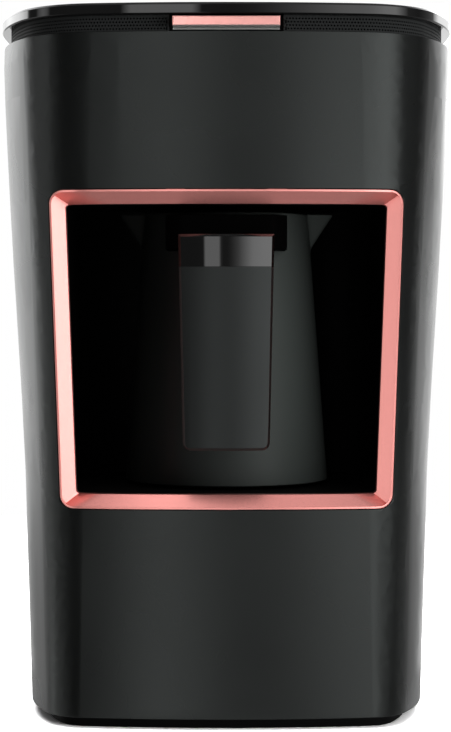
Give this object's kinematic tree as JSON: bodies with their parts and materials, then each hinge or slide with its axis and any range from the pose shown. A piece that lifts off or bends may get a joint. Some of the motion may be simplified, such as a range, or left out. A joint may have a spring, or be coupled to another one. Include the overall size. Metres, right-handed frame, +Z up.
{
  "type": "electric turkish coffee maker",
  "caption": "Upright electric Turkish coffee maker with a framed open chamber, a lift-out pot on a hotplate and a press bar under the lid.",
  "frame": {"origin": "on the surface it stands on, under the middle of the lid", "axes": "+Z up, front towards -Y, +X to the right seen from the front"},
  "size_m": [0.151, 0.165, 0.227],
  "materials": {
    "housing_black": "satin",
    "gloss_black": "high gloss",
    "rose_metal": "satin anodised rose gold",
    "chamber_black": "fine grain",
    "vent_black": "satin",
    "rubber_black": "matt",
    "silicone_grey": "matt",
    "stainless": "brushed",
    "zinc_steel": "zinc plated",
    "cast_aluminium": "as cast",
    "pot_black": "satin",
    "handle_black": "soft matt",
    "board_green": "solder mask",
    "component_black": "moulded",
    "relay_blue": "moulded",
    "core_steel": "varnished laminations",
    "terminal_white": "moulded",
    "lens_dark": "polished dark red"
  },
  "bodies": {
    "machine": {"base_cover": "chamber_black", "base_screws": "zinc_steel", "body_shell": "housing_black", "button_carrier": "component_black", "button_spring": "zinc_steel", "buzzer": "component_black", "chamber_liner": "chamber_black", "control_board": "board_green", "control_board_screws": "zinc_steel", "cord_gland": "rubber_black", "cover_screws": "zinc_steel", "filter_capacitor": "component_black", "heat_spreader": "cast_aluminium", "heating_element": "stainless", "hotplate": "stainless", "hotplate_seal": "silicone_grey", "liner_screws": "zinc_steel", "plate_strap": "zinc_steel", "power_board": "board_green", "power_board_screws": "zinc_steel", "relay": "relay_blue", "rubber_feet": "rubber_black", "sensor_board": "board_green", "sensor_lens": "lens_dark", "strap_screws": "zinc_steel", "switch_body": "component_black", "terminal_block": "terminal_white", "thermal_fuse": "terminal_white", "thermostat": "component_black", "top_cover": "gloss_black", "transformer": "core_steel", "vent_grille": "vent_black", "window_frame": "rose_metal"},
    "pot": {"pot_vessel": "pot_black", "pot_base": "stainless", "base_seal": "silicone_grey", "pot_handle": "handle_black", "handle_band": "gloss_black", "handle_bracket": "component_black", "handle_screws": "zinc_steel"},
    "button": {"start_button": "rose_metal"},
    "plunger": {"switch_plunger": "terminal_white"}
  },
  "joints": [
    {"name": "pot_out", "type": "slide", "parent": "machine", "child": "pot", "axis": [0, -1, 0], "range_m": [0, 0.16]},
    {"name": "button_press", "type": "slide", "parent": "machine", "child": "button", "axis": [0, 1, 0], "range_m": [0, 0.0015], "stiffness_N_per_m": 800, "springref_m": -0.001, "deforming": ["button_spring"]},
    {"name": "plunger_travel", "type": "slide", "parent": "machine", "child": "plunger", "axis": [0, 1, 0], "range_m": [0, 0.0015]}
  ],
  "couplings": [
    {"joint": "plunger_travel", "follows": "button_press", "ratio": 1}
  ]
}
